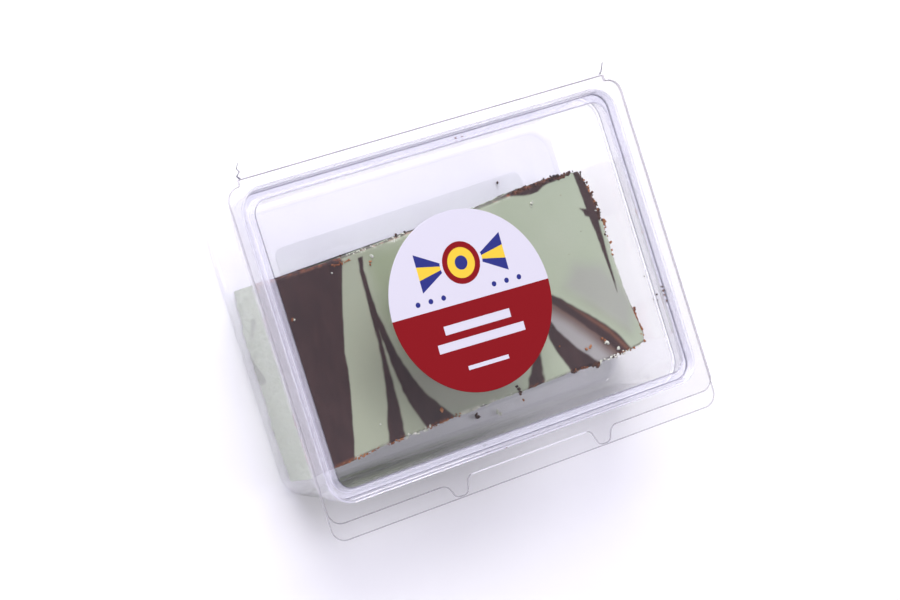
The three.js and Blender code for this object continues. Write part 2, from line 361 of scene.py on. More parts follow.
def outline_share(p, start, start_radius, bend):
    """How far out a point lies towards a bend's rounded outline: 1 is on it, more is outside."""
    corner_x = start_radius * bend[0] / start[0]
    corner_y = start_radius * bend[1] / start[1]
    past_x = max(0, abs(p.x) - bend[0] + corner_x) / corner_x
    past_y = max(0, abs(p.y - OPENING_Y) - bend[1] + corner_y) / corner_y
    return math.hypot(past_x, past_y)


def round_bends(piece, start, start_radius, bends, finishes):
    """Give the sheet a small radius where it turns, as it never fills a mould's corners."""
    for bend, finish in zip(bends, finishes):
        pick(piece, 'EDGE', lambda p: near(p.z, bend[2])
             and near(outline_share(p, start, start_radius, bend), 1, 0.01))
        bpy.ops.mesh.bevel(offset=BEND_RADIUS * MM, offset_type='OFFSET', segments=3, profile=0.5,
                           affect='EDGES', loop_slide=True, material=finish)


def finish_walls(piece, above, below, finish):
    """Give the walls whose foot is between two heights, which the mould stretched, their finish."""
    shape = bmesh.from_edit_mesh(piece.data)
    for face in shape.faces:
        heights = [corner.co.z / MM - PACK_DEPTH for corner in face.verts]
        rises = max(heights) > TUB_START[2] + 0.1
        if face.material_index == 0 and above < min(heights) < below and rises:
            face.material_index = finish
    bmesh.update_edit_mesh(piece.data)


def finish_sheet(piece, faces_up):
    """Give the sheet its thickness, on the side away from its outer face."""
    bpy.ops.mesh.select_mode(type='VERT')
    bpy.ops.mesh.select_all(action='SELECT')
    bpy.ops.mesh.remove_doubles(threshold=0.00001)
    bpy.ops.mesh.dissolve_degenerate(threshold=0.00001)
    close_piece()
    widest = max(piece.data.polygons, key=lambda face: face.area)
    if (widest.normal.z > 0) != faces_up:
        piece.data.flip_normals()
    wall = piece.modifiers.new("wall", 'SOLIDIFY')
    wall.thickness = SHEET * MM
    wall.offset = -1
    wall.material_offset_rim = 1
    bpy.ops.object.modifier_apply(modifier="wall")
    bpy.ops.object.shade_smooth_by_angle(angle=SMOOTH_UP_TO)
    level = piece.modifiers.new("level", 'WEIGHTED_NORMAL')
    level.keep_sharp = True
    bpy.ops.object.modifier_apply(modifier="level")


# Thermoformed PET: nearly all light goes straight through, the rest shines off it, more so
# at a low angle, where the sheet also looks grey; fine waves left by the mould bend its shine.
# Where the sheet was stretched or cut it scatters light, and shows as a fine line; at the dark
# bends the line is a grey tint, painted shade.
WAVES_PER_METRE = 70.0
SHINE_POWER = 4.3
STEEP_SHINE = 0.90
EDGE_ON_POWER = 10.0
GLOSS_ROUGHNESS = 0.03


def clear_sheet(name, level_tint, steep_tint, shadow_tint, shine_start, wave_height, haze):
    material, tree = empty_material(name)
    place = add_node(tree, 'ShaderNodeTexCoord')
    waves = add_node(tree, 'ShaderNodeTexNoise', {
        'Vector': place.outputs['Object'], 'Scale': WAVES_PER_METRE, 'Detail': 2.0})
    bumps = add_node(tree, 'ShaderNodeBump', {
        'Height': waves.outputs[0], 'Distance': wave_height * MM, 'Strength': 1.0})
    angle = add_node(tree, 'ShaderNodeLayerWeight', {'Blend': 0.5})
    steepness = add_node(tree, 'ShaderNodeMath', {0: angle.outputs['Facing'], 1: SHINE_POWER},
                         operation='POWER')
    share = add_node(tree, 'ShaderNodeMath', {
        0: steepness.outputs[0], 1: STEEP_SHINE, 2: shine_start}, operation='MULTIPLY_ADD')
    edge_on = add_node(tree, 'ShaderNodeMath', {0: angle.outputs['Facing'], 1: EDGE_ON_POWER},
                       operation='POWER')
    tint = add_node(tree, 'ShaderNodeMix', {
        0: edge_on.outputs[0], 6: linear(level_tint), 7: linear(steep_tint)}, data_type='RGBA')
    through = add_node(tree, 'ShaderNodeBsdfTransparent', {'Color': tint.outputs[2]})
    scatter = add_node(tree, 'ShaderNodeBsdfDiffuse', {'Color': linear("#E4E3EC")})
    hazy = add_node(tree, 'ShaderNodeMixShader', {0: haze, 1: through.outputs[0], 2: scatter.outputs[0]})
    shine = add_node(tree, 'ShaderNodeBsdfAnisotropic', {
        'Color': linear("#FFFFFF"), 'Roughness': GLOSS_ROUGHNESS, 'Normal': bumps.outputs[0]})
    both = add_node(tree, 'ShaderNodeMixShader', {
        0: share.outputs[0], 1: hazy.outputs[0], 2: shine.outputs[0]})
    light = add_node(tree, 'ShaderNodeLightPath')
    cast = add_node(tree, 'ShaderNodeBsdfTransparent', {'Color': linear(shadow_tint)})
    seen = add_node(tree, 'ShaderNodeMixShader', {
        0: light.outputs['Is Shadow Ray'], 1: both.outputs[0], 2: cast.outputs[0]})
    add_node(tree, 'ShaderNodeOutputMaterial', {'Surface': seen.outputs[0]})
    return material


thermoformed_pet = clear_sheet("thermoformed_pet", "#FFFFFF", "#6B6A74", "#F8F8FA", 0.040, 0.003, 0.010)
cut_pet_edge = clear_sheet("cut_pet_edge", "#DCDADD", "#6B6A72", "#E6E5EC", 0.05, 0.004, 0.03)
pale_bend = clear_sheet("pale_stretched_pet", "#FFFFFF", "#E5E4EC", "#F2F2F6", 0.12, 0.004, 0.36)
dark_bend = clear_sheet("shade_painted_bend_pet", "#A9A8B2", "#65646E", "#EDEDF2", 0.06, 0.004, 0.06)
# The drawn walls' white haze is partly real and partly a painted reflection: it stands in for the veil of
# reflections off the stacked walls.
drawn_pet_with_painted_veil = clear_sheet("drawn_pet_with_painted_veil", "#FFFFFF", "#D9D8E0", "#F2F2F6", 0.05, 0.004, 0.30)
# The lit edge's strong white haze is a painted highlight along the recess.
lit_pet_edge = clear_sheet("lit_pet_edge", "#FFFFFF", "#E5E4EC", "#F2F2F6", 0.12, 0.004, 0.80)
thinned_pet = clear_sheet("thinned_pet", "#FFFFFF", "#6B6A74", "#F2F2F6", 0.045, 0.004, 0.035)

# Which finish a sheet's faces take. The flat sheet is 0, and then come its cut edge, its pale
# bends and its dark bends of painted shade, the hazy walls near its rim (the haze partly a painted
# reflection), its thinned walls, and the lit edge of the recess, a painted highlight.
CUT_EDGE = 1
PALE_BEND = 2
DARK_BEND = 3
DRAWN_WALL = 4
THINNED_WALL = 5
LIT_EDGE = 6
BEND_RADIUS = 0.22
CUT_LINE = 0.3

tub = new_sheet("tub_shell", TUB_START[0], TUB_START[1], OPENING_Y, TUB_START[2])
bpy.ops.mesh.select_all(action='SELECT')
round_corners(TUB_START_RADIUS, 10)
press_walls(tub, TUB_START, TUB_START_RADIUS, TUB_BENDS)
round_bends(tub, TUB_START, TUB_START_RADIUS, TUB_BENDS[-4:-1], (PALE_BEND, DARK_BEND, PALE_BEND))
finish_walls(tub, LEDGE_Z - 0.4, TUB_FLANGE_Z - 0.5, DRAWN_WALL)
finish_walls(tub, TUB_START[2] - 1, LEDGE_Z - 0.4, THINNED_WALL)
cut_flange(tub, LIP_FRONT_Y, TUB_FLANGE_Z, False)
finish_sheet(tub, False)
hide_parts("tub")
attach(tub, "tub")


# Lid
#
# The upper half of the same sheet: a flat panel inside a channel that plugs into the tub,
# and a flange with two tabs and a shallow recess at the front, to lift it by.
FLANGE_FRONT_Y = -57.9
RECESS_FRONT_Y = -57.2
TAB_ROOTS = (24.8, 33.4)
TAB_REACH_Y = -62.9
TAB_TIP_X = 29.1
TAB_TIP_SHARE = 0.55
TAB_TIP_RADIUS = 1.5
TAB_ROOT_RADIUS = 2.2
RECESS_RADIUS = 1.3
PANEL_START = (70.2, 49.0, -1.0)
PANEL_RADIUS = 5.6
LID_BENDS = (
    (71.0, 49.8, -4.0),
    (72.75, 51.65, -4.0),
    (73.05, 51.95, 0.0),
    (74.4, 53.3, 0.0),
)
lid = new_sheet("lid_shell", PANEL_START[0], PANEL_START[1], OPENING_Y, PANEL_START[2])
bpy.ops.mesh.select_all(action='SELECT')
round_corners(PANEL_RADIUS, 10)
press_walls(lid, PANEL_START, PANEL_RADIUS, LID_BENDS)
round_bends(lid, PANEL_START, PANEL_RADIUS, (PANEL_START, *LID_BENDS[:3]),
            (DARK_BEND, PALE_BEND, DARK_BEND, PALE_BEND))
finish_walls(lid, LID_BENDS[0][2] - 1, PANEL_START[2] - 0.5, DRAWN_WALL)
cut_flange(lid, FLANGE_FRONT_Y, 0.0, True)
finish_sheet(lid, True)
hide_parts("lid")
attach(lid, "lid")


# Hinge
#
# The strip of sheet that joins the two flanges, folded over into a tight bead. Pulling the
# pack off the die left a small whisker of plastic at each end of it.
HINGE_AXIS_Y = 58.6
HINGE_AXIS_Z = -0.65
FOLD_RADIUS = 0.4
FOLD_THICKNESS = 0.25
FOLD_START = 0.1
bpy.ops.object.select_all(action='DESELECT')
bpy.ops.mesh.primitive_plane_add(size=2, location=spot(0, HINGE_LINE_Y, HINGE_AXIS_Z - FOLD_RADIUS))
hinge = open_piece("hinge_fold", (HINGE_HALF_X * MM, FOLD_START * MM, 1))
pick(hinge, 'EDGE', lambda p: p.y > HINGE_LINE_Y)
draw_edges(0, HINGE_AXIS_Y - HINGE_LINE_Y - FOLD_START, 0)
FOLD_STEPS = 10
for step in range(FOLD_STEPS):
    before = math.pi * step / FOLD_STEPS
    after = math.pi * (step + 1) / FOLD_STEPS
    draw_edges(0, FOLD_RADIUS * (math.sin(after) - math.sin(before)),
               FOLD_RADIUS * (math.cos(before) - math.cos(after)))
draw_edges(0, HINGE_LINE_Y - HINGE_AXIS_Y, 0)
close_piece()
lowest = min(hinge.data.polygons, key=lambda face: face.center.z)
if lowest.normal.z > 0:
    hinge.data.flip_normals()
fold = hinge.modifiers.new("fold", 'SOLIDIFY')
fold.thickness = FOLD_THICKNESS * MM
fold.offset = -1
bpy.ops.object.modifier_apply(modifier="fold")
bpy.ops.object.shade_smooth_by_angle(angle=SMOOTH_UP_TO)
creased_pet = clear_sheet("creased_pet", "#FFFFFF", "#66646E", "#F4F3F8", 0.04, 0.004, 0.03)
hinge.data.materials.append(creased_pet)
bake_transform(hinge)

# Points each whisker passes through, from the fold outwards, and what is left of its width and
# its thickness at each of them
WHISKERS = (
    ((-71.3, 57.6, -1.0), (-72.3, 58.7, -0.75), (-71.2, 59.9, -0.2), (-71.9, 61.0, -0.1),
     (-70.9, 62.8, 0.0)),
    ((71.6, 57.8, -1.0), (72.6, 58.8, -0.9), (73.3, 60.2, -0.8), (74.0, 61.7, -0.6)),
)
WHISKER_RADIUS = 0.44
WHISKER_TAPER = (0.78, 0.72, 0.6)
for number, points in enumerate(WHISKERS):
    bpy.ops.object.select_all(action='DESELECT')
    bpy.ops.mesh.primitive_circle_add(vertices=8, radius=WHISKER_RADIUS * MM, fill_type='NGON',
                                      location=spot(*points[0]), rotation=(math.pi / 2, 0, 0))
    whisker = open_piece(f"hinge_whisker_{number}")
    bpy.ops.mesh.select_mode(type='FACE')
    bpy.ops.mesh.select_all(action='SELECT')
    for start, end in zip(points, points[1:]):
        bpy.ops.mesh.extrude_region_move(
            TRANSFORM_OT_translate={"value": tuple(spot(*end) - spot(*start))})
        bpy.ops.transform.resize(value=WHISKER_TAPER, center_override=spot(*end))
    close_piece()
    bpy.ops.object.shade_smooth_by_angle(angle=math.radians(60))
    # The whisker takes the grey tint of the dark bends, painted shade.
    whisker.data.materials.append(dark_bend)
    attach(whisker, "tub")


# Label
#
# A round paper label stuck to the middle of the lid's panel: coated white paper, die-cut,
# printed with a red lower field and a wrapped sweet above it.
LABEL_CENTRE = (-3.5, -2.5)
LABEL_RADIUS = 30.9
LABEL_Z = -0.97
LABEL_THICKNESS = 0.14
LABEL_TURN = -2.0
LABEL_ROUNDING = 0.05
LABEL_BORDER = 0.6
bpy.ops.object.select_all(action='DESELECT')
bpy.ops.mesh.primitive_circle_add(vertices=180, radius=LABEL_RADIUS * MM, fill_type='NGON',
                                  location=spot(*LABEL_CENTRE, LABEL_Z))
label = open_piece("paper_label")
bpy.ops.mesh.select_mode(type='FACE')
bpy.ops.mesh.select_all(action='SELECT')
for share in (0.75, 0.25):
    bpy.ops.mesh.extrude_region_move(
        TRANSFORM_OT_translate={"value": (0, 0, share * LABEL_THICKNESS * MM)})
rim_share = 1 - LABEL_ROUNDING / LABEL_RADIUS
bpy.ops.transform.resize(value=(rim_share, rim_share, 1),
                         center_override=spot(*LABEL_CENTRE, LABEL_Z + LABEL_THICKNESS))
bpy.ops.mesh.inset(thickness=LABEL_BORDER * MM)
close_piece()
bpy.ops.object.shade_smooth_by_angle(angle=math.radians(30))

# Coated paper: an even sheen with a faint fibre grain, and ink that lies flat in it.
label_paper, tree = empty_material("coated_paper_label")
place = add_node(tree, 'ShaderNodeTexCoord')
middle = spot(*LABEL_CENTRE, 0)
on_label = add_node(tree, 'ShaderNodeMapping', {
    'Vector': place.outputs['Object'], 'Location': tuple(-Vector((middle.x, middle.y, 0)) / MM),
    'Scale': (1 / MM, 1 / MM, 1 / MM)})
turned = add_node(tree, 'ShaderNodeMapping', {
    'Vector': on_label.outputs[0], 'Rotation': (0.0, 0.0, math.radians(-LABEL_TURN))})
axes = add_node(tree, 'ShaderNodeSeparateXYZ', {0: turned.outputs[0]})
across = axes.outputs['X']
up = axes.outputs['Y']
in_print = add_node(tree, 'ShaderNodeCombineXYZ', {0: across, 1: up})
SWEET_Y = 13.0
SWEET_RADIUS = 7.2
WRAPPER_START = 5.0
WRAPPER_END = 17.0
WRAPPER_FLARE = 0.55
PLEAT_SHARE = 0.35
DOT_Y = 3.2
DOT_RADIUS = 0.9
WHITE, RED, NAVY, YELLOW = "#CDCAD9", "#80111A", "#2C3179", "#E1BF40"


def disc_mask(x, y, radius):
    reach = add_node(tree, 'ShaderNodeVectorMath', {0: in_print.outputs[0], 1: (x, y, 0.0)},
                     operation='DISTANCE')
    disc = add_node(tree, 'ShaderNodeMath', {0: reach.outputs['Value'], 1: radius},
                    operation='LESS_THAN')
    return disc.outputs[0]


def bar_mask(y, half_width, half_height):
    wide = add_node(tree, 'ShaderNodeMath', {0: across, 1: 0.0, 2: half_width}, operation='COMPARE')
    high = add_node(tree, 'ShaderNodeMath', {0: up, 1: y, 2: half_height}, operation='COMPARE')
    bar = add_node(tree, 'ShaderNodeMath', {0: wide.outputs[0], 1: high.outputs[0]},
                   operation='MULTIPLY')
    return bar.outputs[0]


def wrapper_mask(share):
    """The twisted ends of the sweet's wrapper, or this share of their height."""
    off_middle = add_node(tree, 'ShaderNodeMath', {0: across}, operation='ABSOLUTE')
    off_sweet = add_node(tree, 'ShaderNodeMath', {0: up, 1: SWEET_Y}, operation='SUBTRACT')
    off_sweet = add_node(tree, 'ShaderNodeMath', {0: off_sweet.outputs[0]}, operation='ABSOLUTE')
    flare = add_node(tree, 'ShaderNodeMath', {
        0: off_middle.outputs[0], 1: share * WRAPPER_FLARE, 2: -share * WRAPPER_FLARE * WRAPPER_START},
        operation='MULTIPLY_ADD')
    inside = add_node(tree, 'ShaderNodeMath', {0: off_sweet.outputs[0], 1: flare.outputs[0]},
                      operation='LESS_THAN')
    ended = add_node(tree, 'ShaderNodeMath', {0: off_middle.outputs[0], 1: WRAPPER_END},
                     operation='LESS_THAN')
    ends = add_node(tree, 'ShaderNodeMath', {0: inside.outputs[0], 1: ended.outputs[0]},
                    operation='MULTIPLY')
    return ends.outputs[0]


lower_half = add_node(tree, 'ShaderNodeMath', {0: up, 1: 0.0}, operation='LESS_THAN')
fields = [(lower_half.outputs[0], RED), (wrapper_mask(1.0), NAVY), (wrapper_mask(PLEAT_SHARE), YELLOW)]
for radius, ink_colour in ((SWEET_RADIUS + 1, WHITE), (SWEET_RADIUS, RED), (5.2, YELLOW), (2.4, NAVY)):
    fields.append((disc_mask(0.0, SWEET_Y, radius), ink_colour))
for dot_x in (-20.0, -15.0, -10.0, 10.0, 15.0, 20.0):
    fields.append((disc_mask(dot_x, DOT_Y, DOT_RADIUS), NAVY))
for bar_y, half_width, half_height in ((-7.5, 13.0, 1.5), (-13.0, 17.0, 1.5), (-21.5, 8.0, 0.7)):
    fields.append((bar_mask(bar_y, half_width, half_height), WHITE))
print_colour = linear(WHITE)
for mask, ink_colour in fields:
    field = add_node(tree, 'ShaderNodeMix', {0: mask, 6: print_colour, 7: linear(ink_colour)},
                     data_type='RGBA')
    print_colour = field.outputs[2]
fibres = add_node(tree, 'ShaderNodeTexNoise', {
    'Vector': place.outputs['Object'], 'Scale': 1500.0, 'Detail': 3.0})
grain = add_node(tree, 'ShaderNodeBump', {
    'Height': fibres.outputs[0], 'Distance': 0.01 * MM, 'Strength': 0.4})
ink = add_node(tree, 'ShaderNodeBsdfPrincipled', {
    'Base Color': print_colour, 'Roughness': 0.6, 'Specular IOR Level': 0.08,
    'Normal': grain.outputs[0]})
add_node(tree, 'ShaderNodeOutputMaterial', {'Surface': ink.outputs[0]})
label.data.materials.append(label_paper)
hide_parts("label")
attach(label, "lid")


# Bottom label
#
# A plain white paper label with rounded corners, stuck to the underside of the tub. Only the
# strip that reaches past the back of the fudge shows, through the lid and the tub's floor.
BOTTOM_LABEL_X = (-47.0, 54.6)
BOTTOM_LABEL_Y = (-41.5, 34.2)
BOTTOM_LABEL_TURN = 0.9
BOTTOM_LABEL_THICKNESS = 0.1
BOTTOM_LABEL_CORNER = 3.2
GLUE_GAP = 0.02
label_x, label_y = sum(BOTTOM_LABEL_X) / 2, sum(BOTTOM_LABEL_Y) / 2
label_width, label_height = BOTTOM_LABEL_X[1] - BOTTOM_LABEL_X[0], BOTTOM_LABEL_Y[1] - BOTTOM_LABEL_Y[0]
bpy.ops.object.select_all(action='DESELECT')
bpy.ops.mesh.primitive_plane_add(size=1, location=spot(label_x, label_y, -PACK_DEPTH - GLUE_GAP),
                                 rotation=(0, 0, math.radians(BOTTOM_LABEL_TURN)))
bottom_label = open_piece("bottom_label", (label_width * MM, label_height * MM, 1))
bpy.ops.mesh.select_all(action='SELECT')
round_corners(BOTTOM_LABEL_CORNER, 8)
bpy.ops.mesh.select_mode(type='FACE')
bpy.ops.mesh.select_all(action='SELECT')
bpy.ops.mesh.extrude_region_move(
    TRANSFORM_OT_translate={"value": (0, 0, -BOTTOM_LABEL_THICKNESS * MM)})
close_piece()
bpy.ops.object.shade_smooth_by_angle(angle=math.radians(30))

# Uncoated paper: quite matt, with a soft cloudy grain of its fibres.
plain_paper, tree = empty_material("uncoated_paper_label")
place = add_node(tree, 'ShaderNodeTexCoord')
clouds = add_node(tree, 'ShaderNodeTexNoise', {
    'Vector': place.outputs['Object'], 'Scale': 350.0, 'Detail': 4.0})
tone = add_node(tree, 'ShaderNodeMix', {
    0: clouds.outputs[0], 6: linear("#E4E4E7"), 7: linear("#EBEBEE")}, data_type='RGBA')
pulp = add_node(tree, 'ShaderNodeBump', {
    'Height': clouds.outputs[0], 'Distance': 0.02 * MM, 'Strength': 0.4})
sheet = add_node(tree, 'ShaderNodeBsdfPrincipled', {
    'Base Color': tone.outputs[2], 'Roughness': 0.8, 'Specular IOR Level': 0.2,
    'Normal': pulp.outputs[0]})
add_node(tree, 'ShaderNodeOutputMaterial', {'Surface': sheet.outputs[0]})
bottom_label.data.materials.append(plain_paper)
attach(bottom_label, "tub")


# Fudge
#
# One cut block of mint fudge with chocolate fudge folded through it, poured in a slab and
# knife-cut, so that its top is smooth and its sides and edges are torn and crumbly.
FUDGE_TOP = -22.1
FUDGE_BOTTOM = -42.2
BACK_EDGE = ((-67.2, 24.0), (-60.2, 23.9), (-33.8, 24.2), (-20, 24.8), (-6.6, 25.5), (8, 25.8),
             (20, 26.3), (34, 27.4), (40.0, 28.2), (47.3, 28.7), (53, 29.0), (58.0, 28.7), (62.0, 28.7),
             (65.0, 28.3))
FRONT_EDGE = ((-68.4, -42.8), (-59.2, -42.0), (-51.9, -41.4), (-44, -40.8), (-36.8, -40.4),
              (-26, -40.0), (-13.3, -39.3), (0, -38.9), (15.8, -38.6), (26.4, -38.5), (38.2, -37.9),
              (44, -38.1), (49, -38.4), (54, -37.9), (63.0, -37.4), (68.4, -36.9), (70.6, -36.2))
LEFT_EDGE = ((-68.4, -42.8), (-68.9, -25.0), (-68.2, -10.0), (-68.6, 8.0), (-67.2, 24.0))
RIGHT_EDGE = ((70.6, -36.2), (71.4, -33.0), (70.9, -28.5), (69.9, -22.0), (69.2, -16.0), (69.0, -8.6),
              (68.6, -3.0), (69.1, 1.5), (68.5, 4.0), (68.9, 8.5), (68.2, 9.8), (68.4, 13.0),
              (67.9, 17.5), (66.9, 22.5), (65.9, 26.5), (65.0, 28.3))
CELL = 0.42
SIDE_STEP = 0.85

# The outlines, in mm, of each band of chocolate seen on top, of the places where it was smeared
# or torn, of the greyer patches (the one below the label painted shade from its shadow), of the
# mint painted darker and greener as shade beside the label, and then each band with how soft its
# edge is
WEDGE = ((-34.4, 26), (-34.6, 22), (-36.2, 18), (-38.2, 12), (-39.8, 7), (-41.2, 2), (-42.8, -3),
         (-43.8, -6.5), (-44.2, -11), (-45.2, -16), (-46.4, -21), (-47.6, -25.5), (-49, -30.5),
         (-50.2, -35.5), (-51.8, -40.2), (-53, -46), (-80, -46), (-80, 26))
STEM = ((-26.6, 22.3), (-27.7, 18), (-27.8, 12), (-27.9, 7), (-27.8, 3), (-27.3, 0), (-28.9, -2),
        (-30.8, -4), (-30.4, 1), (-30.0, 6), (-29.6, 12), (-29.3, 18), (-28.5, 22.3))
LEFT_BRANCH = ((-28.4, 0), (-29.4, -9), (-29.7, -15), (-29.9, -20), (-30, -26), (-30.3, -31),
               (-31.0, -36), (-31.6, -42), (-38.6, -42), (-36.6, -34), (-35.0, -29), (-33.6, -24),
               (-32.5, -19), (-31.7, -14), (-31.0, -9), (-30.6, -4), (-30.3, 0))
RIGHT_BRANCH = ((-29.5, 1), (-28.6, -9), (-28.3, -15), (-27.9, -20), (-27.4, -25), (-26.3, -29.5),
                (-24.9, -34), (-23.5, -37.5), (-22.0, -41), (-9.5, -41), (-14.9, -34), (-18.2, -29.5),
                (-20.8, -25), (-22.8, -20), (-24.5, -15), (-25.5, -10), (-26.5, -5), (-27.3, 1))
MIDDLE_BAND = ((29.2, -24), (28.3, -28.5), (27.3, -33), (26.0, -41), (18.5, -41), (20.5, -35),
               (23.5, -31), (26, -24))
RIGHT_BAND = ((32.8, -18), (33.5, -25), (34.2, -28.5), (35.4, -32), (37.0, -35.5), (39.4, -41),
              (52.5, -41), (49.5, -37.5), (45.8, -33.5), (42.6, -30), (39.8, -26), (37.3, -22.5),
              (35.6, -18))
ARC = ((38, -8.8), (42.1, -12.2), (45.5, -15.2), (49.5, -18.6), (53.8, -22.7), (58.0, -27.2),
       (61.7, -31.8), (65.0, -38.6), (59.2, -38.6), (57.5, -34.9), (54.6, -30.8), (50.8, -26.3),
       (46.7, -21.7), (43.1, -17.9), (39.8, -14.4), (37.2, -11.8))
SMEAR = ((38.4, -11), (43.8, -17.3), (47.4, -21.1), (51.6, -25.7), (55.4, -30.3), (60.0, -38.6),
         (50.5, -38.6), (45.8, -33.5), (42.6, -30), (39.8, -26), (36.6, -21), (35.6, -15))
RIGHT_WEDGE = ((62.4, 28.4), (63.0, 22), (63.4, 15), (63.6, 11), (64.2, 6), (64.5, 0), (64.8, -5),
               (65.2, -10), (65.5, -16.5), (65.9, -13), (66.2, -6), (66.4, 1), (66.8, 5), (67, 9.5),
               (70.5, 11), (71, 25), (66.5, 28.4))
# The patch below the label marks painted shade from the label's shadow.
LABEL_SHADE_BELOW = ((-24, -20), (-13, -38), (16, -38), (20, -32), (0, -20))
ARC_BLUR = ((46, -9), (66, -31), (70, -20), (62, -6), (52, -3))
ARC_TORN = ((41, -12), (49, -18.6), (57.8, -27), (65.5, -38.6), (62.6, -38.6), (57.2, -29.9),
            (49.6, -21.6))
# Beside the label, the mint is painted darker and greener as shade from its shadow.
LABEL_SHADE_BESIDE = ((-26, 24), (-26, 2), (-22, -14), (-4, -14), (6, 24))
SPUR = ((60.5, 15.8), (62, 15.2), (63.8, 14.6), (63.8, 11.6), (62.2, 12.6), (61.8, 14.2))
BACK_STRIP = ((33.5, 27.2), (37, 26.5), (40, 25.8), (43.5, 25.3), (46.5, 25.6), (49, 26.8), (52, 27.3),
              (58, 27.6), (62, 28.4), (62, 31), (33.5, 31))
BANDS = ((WEDGE, 0.45), (STEM, 0.5), (LEFT_BRANCH, 0.9), (RIGHT_BRANCH, 0.8), (MIDDLE_BAND, 1.3),
         (RIGHT_BAND, 0.8), (ARC, 0.8), (RIGHT_WEDGE, 0.5), (SPUR, 0.5), (BACK_STRIP, 0.5))


def along(edge, share):
    """Points at these shares of an edge's length."""
    points = np.array(edge, float)
    lengths = np.concatenate([[0], np.cumsum(np.linalg.norm(np.diff(points, axis=0), axis=1))])
    at = share * lengths[-1]
    return np.stack([np.interp(at, lengths, points[:, 0]), np.interp(at, lengths, points[:, 1])], 1)


def inside_by(outline, x, y):
    """How far inside an outline each point lies, in mm, less than nothing outside it."""
    corners = np.array(outline, float)
    nexts = np.roll(corners, -1, axis=0)
    nearest = np.full(x.shape, 1e9)
    crossings = np.zeros(x.shape, int)
    for (x0, y0), (x1, y1) in zip(corners, nexts):
        length = max((x1 - x0) ** 2 + (y1 - y0) ** 2, 1e-9)
        share = np.clip(((x - x0) * (x1 - x0) + (y - y0) * (y1 - y0)) / length, 0, 1)
        reach = np.hypot(x - x0 - share * (x1 - x0), y - y0 - share * (y1 - y0))
        nearest = np.minimum(nearest, reach)
        if y0 != y1:
            crosses = ((y0 > y) != (y1 > y)) & (x < (x1 - x0) * (y - y0) / (y1 - y0) + x0)
            crossings += crosses
    return np.where(crossings % 2 == 1, nearest, -nearest)


def soft(value, low, high):
    """0 below low, 1 above high, and a smooth rise between."""
    share = np.clip((value - low) / (high - low), 0, 1)
    return share * share * (3 - 2 * share)


def lumps(points, size, seed):
    """Steady lumpy noise about 0, with lumps of this size in mm."""
    shift = Vector((seed * 17.3, seed * 5.7, seed * 11.1))
    return np.array([noise.noise(Vector(p) / size + shift) for p in points])


bpy.ops.object.select_all(action='DESELECT')
FUDGE_LENGTH = 138.0
FUDGE_WIDTH = 66.0
columns = round(FUDGE_LENGTH / CELL)
rows = round(FUDGE_WIDTH / CELL)
bpy.ops.mesh.primitive_grid_add(x_subdivisions=columns, y_subdivisions=rows, size=1,
                                location=(0, 0, 0))
block = bpy.context.object
block.name = "fudge_block"
bpy.ops.object.mode_set(mode='EDIT')
bpy.ops.mesh.select_mode(type='EDGE')
bpy.ops.mesh.select_all(action='SELECT')
keep_boundary(block)
sides = round((FUDGE_TOP - FUDGE_BOTTOM) / SIDE_STEP)
for step in range(sides):
    bpy.ops.mesh.extrude_edges_move(TRANSFORM_OT_translate={"value": (0, 0, -1 / sides)})
bpy.ops.mesh.edge_face_add()
close_piece()

# The grid is drawn to the block's four edges, then torn at its sides and rounded where it was cut
flat = np.empty(len(block.data.vertices) * 3)
block.data.vertices.foreach_get("co", flat)
flat = flat.reshape(-1, 3)
u = np.clip(flat[:, 0] + 0.5, 0, 1)
v = np.clip(flat[:, 1] + 0.5, 0, 1)
depth = -flat[:, 2]
back, front = along(BACK_EDGE, u), along(FRONT_EDGE, u)
left, right = along(LEFT_EDGE, v), along(RIGHT_EDGE, v)
corner = {(i, j): np.array(c) for (i, j), c in {
    (0, 0): FRONT_EDGE[0], (1, 0): FRONT_EDGE[-1], (0, 1): BACK_EDGE[0], (1, 1): BACK_EDGE[-1]}.items()}
U, V = u[:, None], v[:, None]
top_place = (front * (1 - V) + back * V + left * (1 - U) + right * U
             - corner[0, 0] * (1 - U) * (1 - V) - corner[1, 0] * U * (1 - V)
             - corner[0, 1] * (1 - U) * V - corner[1, 1] * U * V)
x, y = top_place[:, 0].copy(), top_place[:, 1].copy()
to_side = np.minimum.reduce([
    u * FUDGE_LENGTH, (1 - u) * FUDGE_LENGTH, v * FUDGE_WIDTH, (1 - v) * FUDGE_WIDTH])
outward = np.stack([np.where(u < 1e-6, -1.0, np.where(u > 1 - 1e-6, 1.0, 0.0)),
                    np.where(v < 1e-6, -1.0, np.where(v > 1 - 1e-6, 1.0, 0.0))], 1)
outward /= np.maximum(np.linalg.norm(outward, axis=1), 1)[:, None]
z = FUDGE_TOP + (FUDGE_BOTTOM - FUDGE_TOP) * depth
where = np.stack([x, y, z], 1)
fine = lumps(where, 0.9, 1)
middling = lumps(where, 2.6, 2)
coarse = lumps(where, 9.0, 3)
broad = lumps(where, 30.0, 4)

side = depth > 1e-6
torn = 0.28 * fine + 0.35 * middling + 0.4 * coarse
push = np.where(to_side < 1e-4, torn - 0.15 - 0.5 * soft(depth, 0.93, 1.0), 0)
x += outward[:, 0] * push
y += outward[:, 1] * push
edge_drop = np.clip(1 - to_side / (1.1 + 0.8 * np.clip(middling + 0.3, 0, 1)), 0, 1) ** 2
swell = 0.12 * broad * np.minimum(to_side / 3, 1)
z += np.where(side, 0, -0.75 * edge_drop * (1 + 0.9 * fine) + swell)
